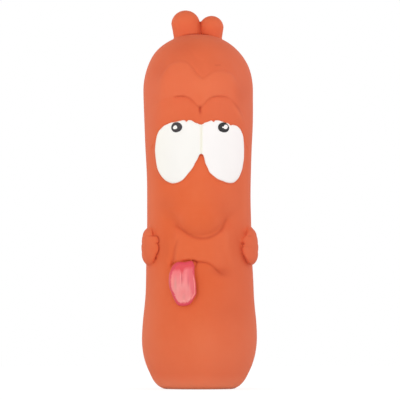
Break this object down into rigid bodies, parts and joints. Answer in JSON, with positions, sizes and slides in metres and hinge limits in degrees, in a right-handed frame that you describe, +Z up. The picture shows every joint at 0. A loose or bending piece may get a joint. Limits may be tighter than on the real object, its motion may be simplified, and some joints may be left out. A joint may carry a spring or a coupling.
{
  "type": "latex dog toy",
  "caption": "Upright sausage-shaped latex squeaky dog toy with a droopy comic face, sagging nose, small fists, a lolling tongue and a reed squeaker in its flat foot.",
  "frame": {"origin": "on the floor, at the middle of the bounding box's base", "axes": "+Z up along the toy's length, the face towards -Y, +X to the viewer's right when looking at the face"},
  "size_m": [0.054, 0.0542, 0.1747],
  "materials": {
    "latex_orange": "matte",
    "polyester_fibre": "matte",
    "latex_coat_white": "satin",
    "latex_coat_black": "gloss",
    "latex_coat_glint": "satin",
    "latex_coat_pink": "satin",
    "latex_coat_pale_pink": "satin",
    "squeaker_plastic": "satin",
    "reed_plug_plastic": "satin",
    "reed_film": "satin"
  },
  "bodies": {
    "toy": {"latex_skin": "latex_orange", "fibre_filling": "polyester_fibre", "eye_white_left": "latex_coat_white", "eye_white_right": "latex_coat_white", "pupil_left": "latex_coat_black", "pupil_right": "latex_coat_black", "glint_left": "latex_coat_glint", "glint_right": "latex_coat_glint", "tongue_coat": "latex_coat_pink", "tongue_pale_coat": "latex_coat_pale_pink", "squeaker_barrel": "squeaker_plastic", "reed_seat": "reed_plug_plastic", "reed_clamp": "reed_plug_plastic"},
    "reed": {"reed": "reed_film"}
  },
  "joints": [
    {"name": "reed_flutter", "type": "hinge", "parent": "toy", "child": "reed", "pos_m": [0, 0.0018, 0.0047], "axis": [1, 0, 0], "range_deg": [-1.5, 5], "stiffness_Nm_per_rad": 0.0005}
  ]
}
